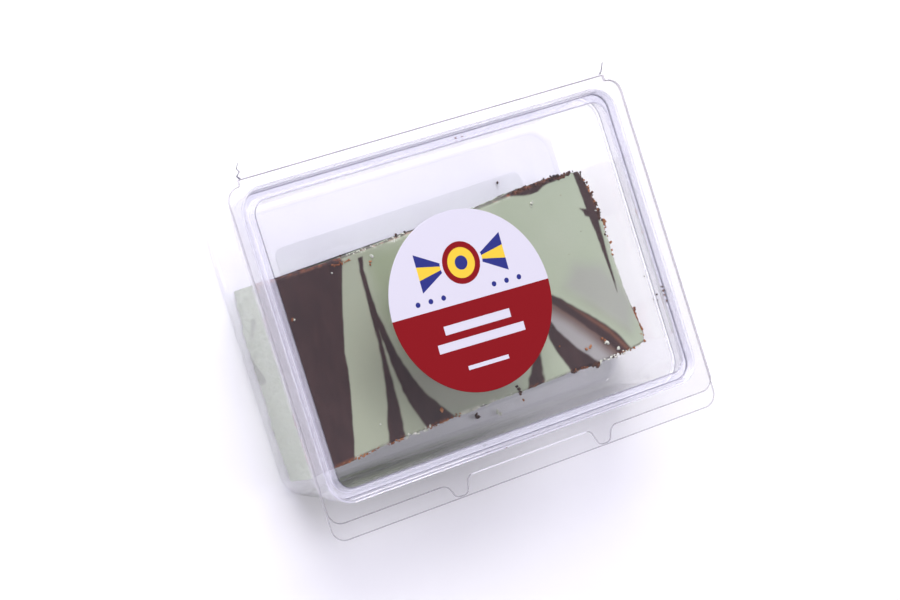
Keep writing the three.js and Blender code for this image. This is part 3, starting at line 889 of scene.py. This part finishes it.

# How much chocolate each point has; where the mint is smeared, and where it is greyed as painted
# shade below the label; how much greyer it turns towards the left end; where it is crusted; and
# where it is painted darker and greener as shade beside the label
bend = 0.35 * middling + 0.25 * coarse
chocolate = np.zeros(len(x))
for outline, softness in BANDS:
    band = soft(inside_by(outline, x, y) + bend * softness, -softness / 2, softness / 2)
    chocolate = np.maximum(chocolate, band)
below_back = soft(y - along(BACK_EDGE, u)[:, 1], -0.9, -0.2) * (x < 62)
chocolate = np.maximum(chocolate, 0.75 * below_back * (to_side < 1.5))
is_side = side.astype(float)
swirl = soft(np.sin(0.16 * x + 0.55 * z + 5 * coarse + 1.5) + 1.2 * coarse, 0.75, 1.0)
left_face = (u < 1e-6) & side
cut_face = np.maximum(chocolate * soft(-depth, -0.8, -0.25), 0.85 * swirl)
chocolate = np.where(side & ~left_face, cut_face, chocolate)
chocolate = np.where(left_face, 0.5 * soft(coarse, 0.35, 0.5), chocolate)
smear_and_shade = soft(inside_by(SMEAR, x, y) + bend, -2.2, -0.6) * (1 - is_side)
far_from_arc = soft(-inside_by(ARC, x, y) + 0.6 * coarse, 0.0, 5.5)
# Painted shade: below the label the mint is greyed where the label's shadow falls.
smear_and_shade = np.maximum(smear_and_shade, 0.35 * soft(inside_by(LABEL_SHADE_BELOW, x, y), -3, 4))
smear_and_shade = np.maximum(smear_and_shade, 0.6 * soft(inside_by(ARC_BLUR, x, y), -4, 3))
# The mint turns greyer towards the left end.
left_grey = soft(-x, -40.0, 45.0) * (1 - is_side)
# Painted shade: darker, greener mint beside the label, where its shadow falls.
label_shade = soft(inside_by(LABEL_SHADE_BESIDE, x, y) + 2 * coarse, -3.0, 5.0) * (1 - is_side)
near_edge = soft(-to_side, -1.5, -0.2) * (1 - is_side)
crust = near_edge * soft(middling + 0.5 * coarse + 0.6 * fine, -0.12, 0.2)
warm_side = soft(inside_by(ARC_TORN, x, y), -0.3, 1.5)
corner_edge = (soft(-to_side, -1.1, -0.3) * soft(-np.abs(y + 29.5), -7.5, -6.0)
               * (u > 0.5) * (depth < 0.25))
chocolate = np.maximum(chocolate, corner_edge)
crust = np.maximum(crust, corner_edge)
lumpiness = np.where(side | (near_edge > 0.3), 1.0, 0.0)

scaled = np.stack([x, y + FLANGE_SHIFT_Y, z + PACK_DEPTH], 1) * MM
block.data.vertices.foreach_set("co", scaled.ravel())
block.data.update()
point_values = {
    "chocolate": chocolate, "smear_and_shade": smear_and_shade, "left_grey": left_grey, "crust": np.maximum(crust, 0),
    "warm": warm_side, "torn": lumpiness, "label_shade": label_shade, "far_from_arc": far_from_arc}
for name, values in point_values.items():
    attribute = block.data.attributes.new(name, 'FLOAT', 'POINT')
    attribute.data.foreach_set("value", values.astype(np.float32))
bpy.ops.object.shade_smooth_by_angle(angle=math.radians(75))

# Fudge: fine sugar crystals set in fat, so a soft waxy sheen on the poured top and a dull
# broken grain on the cut sides; chocolate dark brown, orange-brown where it is thin or torn,
# and a dusty grey-brown where it was smeared over the mint; below the label the same grey is
# painted as shade from the label's shadow, and beside it a darker green, also painted shade.
fudge_paste, tree = empty_material("fudge_paste")
place = add_node(tree, 'ShaderNodeTexCoord')
amount = {name: add_node(tree, 'ShaderNodeAttribute', attribute_name=name).outputs['Fac']
          for name in point_values}
cloud = add_node(tree, 'ShaderNodeTexNoise', {
    'Vector': place.outputs['Object'], 'Scale': 45.0, 'Detail': 4.0})
crystals = add_node(tree, 'ShaderNodeTexNoise', {
    'Vector': place.outputs['Object'], 'Scale': 900.0, 'Detail': 3.0})
pulled = add_node(tree, 'ShaderNodeMapping', {
    'Vector': place.outputs['Object'], 'Rotation': (0.0, 0.0, 0.25), 'Scale': (330.0, 110.0, 110.0)})
streaks = add_node(tree, 'ShaderNodeTexNoise', {'Vector': pulled.outputs[0], 'Scale': 1.0, 'Detail': 3.0})
strands = add_node(tree, 'ShaderNodeMapRange', {
    'Value': streaks.outputs[0], 'From Min': 0.35, 'From Max': 0.68})
mint = linear("#9EAA8F")
# The last layer is painted shade: darker, greener mint beside the label, where its shadow falls.
for share, tint in (
        (cloud.outputs[0], "#B3BBA6"), (amount["left_grey"], "#A0A690"), (amount["label_shade"], "#929D7F")):
    layer = add_node(tree, 'ShaderNodeMix', {0: share, 6: mint, 7: linear(tint)}, data_type='RGBA')
    mint = layer.outputs[2]
pale_crumb = add_node(tree, 'ShaderNodeMix', {
    0: crystals.outputs[0], 6: linear("#D7D6CB"), 7: linear("#C2C5AF")}, data_type='RGBA')
mint_face = add_node(tree, 'ShaderNodeMix', {
    0: amount["crust"], 6: mint, 7: pale_crumb.outputs[2]}, data_type='RGBA')
dark = add_node(tree, 'ShaderNodeMix', {
    0: strands.outputs[0], 6: linear("#301B1C"), 7: linear("#3B2424")}, data_type='RGBA')
brown_crumb = add_node(tree, 'ShaderNodeMix', {
    0: crystals.outputs[0], 6: linear("#5C3425"), 7: linear("#9D5E3D")}, data_type='RGBA')
dark_face = add_node(tree, 'ShaderNodeMix', {
    0: amount["crust"], 6: dark.outputs[2], 7: brown_crumb.outputs[2]}, data_type='RGBA')
warmed = add_node(tree, 'ShaderNodeMix', {
    0: amount["warm"], 6: dark_face.outputs[2], 7: linear("#724734")}, data_type='RGBA')
smear_and_shade_grey = add_node(tree, 'ShaderNodeMix', {
    0: amount["far_from_arc"], 6: linear("#664E46"), 7: linear("#9E9B99")}, data_type='RGBA')
greyed = add_node(tree, 'ShaderNodeMix', {
    0: amount["smear_and_shade"], 6: mint_face.outputs[2], 7: smear_and_shade_grey.outputs[2]}, data_type='RGBA')
swirled = add_node(tree, 'ShaderNodeMix', {
    0: amount["chocolate"], 6: greyed.outputs[2], 7: warmed.outputs[2]}, data_type='RGBA')
roughness = add_node(tree, 'ShaderNodeMath', {0: amount["torn"], 1: 0.35, 2: 0.42},
                     operation='MULTIPLY_ADD')
relief = add_node(tree, 'ShaderNodeMath', {0: amount["torn"], 1: 0.9, 2: 0.1}, operation='MULTIPLY_ADD')
pitted = add_node(tree, 'ShaderNodeBump', {
    'Height': crystals.outputs[0], 'Distance': 0.35 * MM, 'Strength': relief.outputs[0]})
paste = add_node(tree, 'ShaderNodeBsdfPrincipled', {
    'Base Color': swirled.outputs[2], 'Roughness': roughness.outputs[0], 'Specular IOR Level': 0.25,
    'Normal': pitted.outputs[0]})
add_node(tree, 'ShaderNodeOutputMaterial', {'Surface': paste.outputs[0]})
block.data.materials.append(fudge_paste)
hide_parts("fudge")
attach(block, "tub")


# Reflection film
#
# A thin streaky film on the floor and the front wall of the tub, thickest at the foot of the
# left end and gone at the right end: painted reflection of the block's shaded foot, and painted shade.
FILM_X = (-66.5, 66.0)
FILM_STEP = 2.6
FILM_START = 0.4
FILM_PROFILE = ((-43.6, -42.40), (-45.2, -42.40), (-46.5, -42.10), (-47.4, -41.45), (-47.95, -40.5),
                (-48.1, -39.4), (-49.1, -31.0), (-50.1, -21.0), (-50.9, -14.0))
bpy.ops.object.select_all(action='DESELECT')
film_y, film_z = FILM_PROFILE[0]
bpy.ops.mesh.primitive_plane_add(size=1, location=spot(sum(FILM_X) / 2, film_y, film_z))
film = open_piece("painted_reflection_sheet", ((FILM_X[1] - FILM_X[0]) * MM, FILM_START * MM, 1))
pick(film, 'EDGE', lambda p: p.y < film_y)
last_y = film_y - FILM_START / 2
for next_y, next_z in FILM_PROFILE[1:]:
    draw_edges(0, next_y - last_y, next_z - film_z)
    last_y, film_z = next_y, next_z
for cut in np.arange(FILM_X[0] + FILM_STEP, FILM_X[1], FILM_STEP):
    bpy.ops.mesh.select_all(action='SELECT')
    bpy.ops.mesh.bisect(plane_co=spot(cut, 0, 0), plane_no=(1, 0, 0))
close_piece()
if film.data.polygons[0].normal.z < 0:
    film.data.flip_normals()
bpy.ops.object.shade_smooth_by_angle(angle=math.radians(60))

# Painted reflection and shade: half clear and dull, grey-green, in slanting streaks.
reflection_film_paint, tree = empty_material("painted_reflection_film")
place = add_node(tree, 'ShaderNodeTexCoord')
axes = add_node(tree, 'ShaderNodeSeparateXYZ', {0: place.outputs['Object']})
slanted = add_node(tree, 'ShaderNodeMapping', {
    'Vector': place.outputs['Object'], 'Rotation': (0.0, 0.0, 0.3), 'Scale': (60.0, 1400.0, 300.0)})
streaks = add_node(tree, 'ShaderNodeTexNoise', {
    'Vector': slanted.outputs[0], 'Scale': 1.0, 'Detail': 4.0})
left_end = add_node(tree, 'ShaderNodeMapRange', {
    'Value': axes.outputs['X'], 'From Min': 0.036, 'From Max': -0.040, 'To Min': 0.0, 'To Max': 0.85})
low_down = add_node(tree, 'ShaderNodeMapRange', {
    'Value': axes.outputs['Z'], 'From Min': 0.026, 'From Max': 0.010, 'To Min': 0.0, 'To Max': 1.0})
off_floor = add_node(tree, 'ShaderNodeMapRange', {
    'Value': axes.outputs['Z'], 'From Min': 0.0006, 'From Max': 0.0018, 'To Min': 0.0, 'To Max': 1.0})
uneven = add_node(tree, 'ShaderNodeMapRange', {
    'Value': streaks.outputs[0], 'From Min': 0.30, 'From Max': 0.62, 'To Min': 0.55, 'To Max': 1.0})
thick = left_end
for share in (low_down, off_floor, uneven):
    thick = add_node(tree, 'ShaderNodeMath', {0: thick.outputs[0], 1: share.outputs[0]},
                     operation='MULTIPLY')
film_green = add_node(tree, 'ShaderNodeMix', {
    0: streaks.outputs[0], 6: linear("#6F775A"), 7: linear("#9BA386")}, data_type='RGBA')
dull = add_node(tree, 'ShaderNodeBsdfPrincipled', {
    'Base Color': film_green.outputs[2], 'Roughness': 0.5, 'Specular IOR Level': 0.3})
clear = add_node(tree, 'ShaderNodeBsdfTransparent', {'Color': linear("#FFFFFF")})
filmed = add_node(tree, 'ShaderNodeMixShader', {
    0: thick.outputs[0], 1: clear.outputs[0], 2: dull.outputs[0]})
add_node(tree, 'ShaderNodeOutputMaterial', {'Surface': filmed.outputs[0]})
film.data.materials.append(reflection_film_paint)
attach(film, "tub")


# Crumbs
#
# Bits of fudge broken off by the knife and by the trip: brown and orange-brown ones along the
# block's torn edges, pale mint ones at its front, and a few loose on the floor and on the lid.
def crumb_shape(seed):
    """One broken crumb about 1 mm across: its points and its triangles."""
    bpy.ops.object.select_all(action='DESELECT')
    bpy.ops.mesh.primitive_ico_sphere_add(subdivisions=2, radius=0.5, location=(0, 0, 0))
    lump = bpy.context.object
    points = np.array([tuple(corner.co) for corner in lump.data.vertices])
    faces = np.array([tuple(face.vertices) for face in lump.data.polygons])
    bpy.data.meshes.remove(lump.data)
    points *= 1 + 0.75 * lumps(points, 0.45, seed)[:, None]
    return points, faces


# Six shapes, each from its own seed
CRUMB_SHAPES = [crumb_shape(seed) for seed in range(20, 26)]
dice = np.random.default_rng(7)


def lay_crumbs(name, places, body, finish):
    """One piece made of crumbs, each at (x, y, z, size) in mm, turned by chance."""
    points, faces, first = [], [], 0
    for x, y, z, size in places:
        shape, triangles = CRUMB_SHAPES[dice.integers(len(CRUMB_SHAPES))]
        spin = Matrix.Rotation(dice.uniform(0, 6.28), 3, 'Z')
        turn = spin @ Matrix.Rotation(dice.uniform(0, 3.14), 3, 'X')
        stretch = [dice.uniform(0.7, 1.5), dice.uniform(0.7, 1.2), dice.uniform(0.6, 0.9)]
        turned_shape = (shape * (np.array(stretch) * size)) @ np.array(turn).T
        placed = turned_shape + np.array([x, y + FLANGE_SHIFT_Y, z + PACK_DEPTH])
        points.append(placed * MM)
        faces.append(triangles + first)
        first += len(shape)
    mesh = bpy.data.meshes.new(name)
    mesh.from_pydata(np.concatenate(points).tolist(), [], np.concatenate(faces).tolist())
    piece = bpy.data.objects.new(name, mesh)
    bpy.context.collection.objects.link(piece)
    bpy.context.view_layer.objects.active = piece
    piece.select_set(True)
    bpy.ops.object.shade_smooth_by_angle(angle=math.radians(50))
    piece.select_set(False)
    mesh.materials.append(finish)
    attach(piece, body)


# Broken fudge: dull, with each crumb's colour a little off the next.
def crumb_finish(name, one_colour, other_colour):
    material, tree = empty_material(name)
    place = add_node(tree, 'ShaderNodeTexCoord')
    patches = add_node(tree, 'ShaderNodeTexNoise', {
        'Vector': place.outputs['Object'], 'Scale': 260.0, 'Detail': 3.0})
    edges = add_node(tree, 'ShaderNodeValToRGB', {0: patches.outputs[0]})
    edges.color_ramp.elements[0].position = 0.38
    edges.color_ramp.elements[1].position = 0.62
    edges.color_ramp.elements[0].color = linear(one_colour)
    edges.color_ramp.elements[1].color = linear(other_colour)
    pits = add_node(tree, 'ShaderNodeTexNoise', {'Vector': place.outputs['Object'], 'Scale': 2500.0})
    grain = add_node(tree, 'ShaderNodeBump', {
        'Height': pits.outputs[0], 'Distance': 0.2 * MM, 'Strength': 0.6})
    crumb = add_node(tree, 'ShaderNodeBsdfPrincipled', {
        'Base Color': edges.outputs[0], 'Roughness': 0.7, 'Specular IOR Level': 0.2,
        'Normal': grain.outputs[0]})
    add_node(tree, 'ShaderNodeOutputMaterial', {'Surface': crumb.outputs[0]})
    return material


def strewn(edge, start_x, end_x, count, size, inward, top):
    """Crumbs strewn by chance along part of an edge, from start_x to end_x."""
    places = []
    line = along(edge, np.linspace(0, 1, 400))
    stretch = line[(line[:, 0] >= start_x) & (line[:, 0] <= end_x)]
    for _ in range(count):
        px, py = stretch[dice.integers(len(stretch))]
        scale = size * dice.uniform(0.45, 1.3)
        px += inward[0] * dice.uniform(-0.35, 1.0)
        py += inward[1] * dice.uniform(-0.35, 1.0)
        places.append((px, py, top + dice.uniform(-0.8, 0.1), scale))
    return places


chocolate_crumb = crumb_finish("broken_chocolate_fudge", "#2D1C1A", "#5E3722")
amber_crumb = crumb_finish("torn_chocolate_fudge", "#7F472A", "#B7794C")
mint_crumb = crumb_finish("broken_mint_fudge", "#D2D5C4", "#EDECE5")

dark_places = (
    strewn(BACK_EDGE, 36, 63, 90, 0.85, (0, -1.2), FUDGE_TOP + 0.05)
    + strewn(RIGHT_EDGE, 65.0, 68.6, 60, 0.9, (-1.3, 0), FUDGE_TOP)
    + strewn(FRONT_EDGE, 38, 50, 26, 0.8, (0, 0.8), FUDGE_TOP - 0.1)
    + strewn(FRONT_EDGE, 55, 62, 12, 0.7, (0, 0.6), FUDGE_TOP - 0.2)
    + [(49.2, -38.4, -22.3, 2.0), (48.3, -38.0, -22.2, 1.5), (57.2, -38.0, -22.5, 1.0),
       (43.8, 32.9, -42.2, 1.0), (-67.6, -25.7, -41.9, 1.3), (-34.5, 24.6, -22.3, 0.7),
       (-12.0, 25.8, -22.4, 1.0), (-8.5, 25.9, -22.4, 1.1), (8.0, -43.3, -42.1, 1.6),
       (7.6, -42.4, -42.1, 1.2), (15.2, -36.3, -22.0, 1.1), (15.6, -37.3, -22.1, 1.5),
       (16.1, -38.4, -22.5, 1.5), (16.4, -39.2, -23.4, 1.3), (58.5, 7.8, -22.0, 0.35),
       (51.0, 1.4, -22.0, 0.3)])
amber_places = (
    strewn(FRONT_EDGE, -58, -42, 36, 0.7, (0, 0.7), FUDGE_TOP - 0.1)
    + strewn(FRONT_EDGE, -39, -32, 22, 0.7, (0, 0.7), FUDGE_TOP - 0.1)
    + strewn(FRONT_EDGE, -23, -8, 30, 0.65, (0, 0.9), FUDGE_TOP - 0.1)
    + strewn(FRONT_EDGE, 39, 46, 18, 0.7, (0, 0.8), FUDGE_TOP)
    + strewn(FRONT_EDGE, 60, 66, 14, 0.7, (0, 0.7), FUDGE_TOP)
    + strewn(RIGHT_EDGE, 66.0, 68.8, 26, 0.8, (-0.6, 0), FUDGE_TOP - 0.1)
    + [(68.9, 8.9, -22.3, 1.6), (69.0, 7.6, -22.5, 1.2), (69.3, 0.9, -22.6, 1.0)]
    + [(70.3 + dice.uniform(-0.7, 0.5), py, -22.6 + dice.uniform(-0.8, 0.3), dice.uniform(0.6, 1.2))
       for py in np.linspace(-23.5, -36.0, 40)]
    + [(px, 22.3 + dice.uniform(-0.4, 0.5), -21.9, dice.uniform(0.4, 0.9))
       for px in np.linspace(-38.5, -32.0, 12)]
    + [(-24.5, 19.8, -22.0, 1.0), (-24.9, 18.9, -22.0, 0.8), (-58.6, 9.2, -22.0, 1.2),
       (-15.4, -35.4, -21.9, 1.3), (46.2, -32.0, -21.9, 1.1), (48.0, -31.7, -21.9, 1.2),
       (53.6, -30.2, -21.8, 1.4), (54.5, -31.2, -21.8, 1.1), (36.2, -28.0, -21.9, 0.8),
       (55.0, 22.0, -22.0, 0.35), (27.5, -43.0, -42.1, 0.9)])
pale_places = (
    strewn(FRONT_EDGE, -31, -21, 44, 0.75, (0, 0.9), FUDGE_TOP - 0.05)
    + strewn(FRONT_EDGE, 49, 62, 40, 0.75, (0, 1.0), FUDGE_TOP - 0.05)
    + strewn(FRONT_EDGE, -6, 15, 26, 0.6, (0, 0.7), FUDGE_TOP - 0.1)
    + strewn(BACK_EDGE, -32, -8, 40, 0.6, (0, -1.4), FUDGE_TOP - 0.1)
    + strewn(FRONT_EDGE, 63, 70, 14, 0.6, (0, 0.6), FUDGE_TOP - 0.2)
    + [(55.2, -32.2, -21.8, 1.5), (54.6, -31.8, -21.8, 1.0), (58.8, -35.4, -21.8, 1.3),
       (-39.2, -33.1, -21.9, 0.7), (42.4, 22.2, -21.8, 1.1), (42.0, 21.4, -21.9, 0.8),
       (43.1, 22.8, -21.9, 0.8), (-58.0, 9.0, -21.9, 0.9), (-39.5, 20.0, -22.0, 0.6),
       (-23.5, 21.5, -21.9, 1.2), (16.2, -44.0, -42.2, 1.6), (16.9, -44.9, -42.1, 1.2),
       (66.9, 13.2, -22.1, 0.7)])
rim_places = [
    (72.0, -18.8, -3.9, 0.9), (72.1, -20.4, -3.9, 1.2), (72.0, -21.8, -3.9, 0.8),
    (72.2, -24.0, -3.8, 0.6), (64.6, -13.4, -0.9, 0.5), (67.2, -20.7, -0.9, 0.6),
    (65.3, -22.0, -0.95, 0.4), (67.0, -22.7, -0.95, 0.35), (-8.0, -52.8, 0.05, 0.5),
    (11.0, 50.9, -3.9, 0.6), (13.5, 50.8, -3.9, 0.5)]
lay_crumbs("chocolate_crumbs", dark_places, "tub", chocolate_crumb)
lay_crumbs("amber_crumbs", amber_places, "tub", amber_crumb)
lay_crumbs("mint_crumbs", pale_places, "tub", mint_crumb)
lay_crumbs("rim_crumbs", rim_places, "lid", chocolate_crumb)
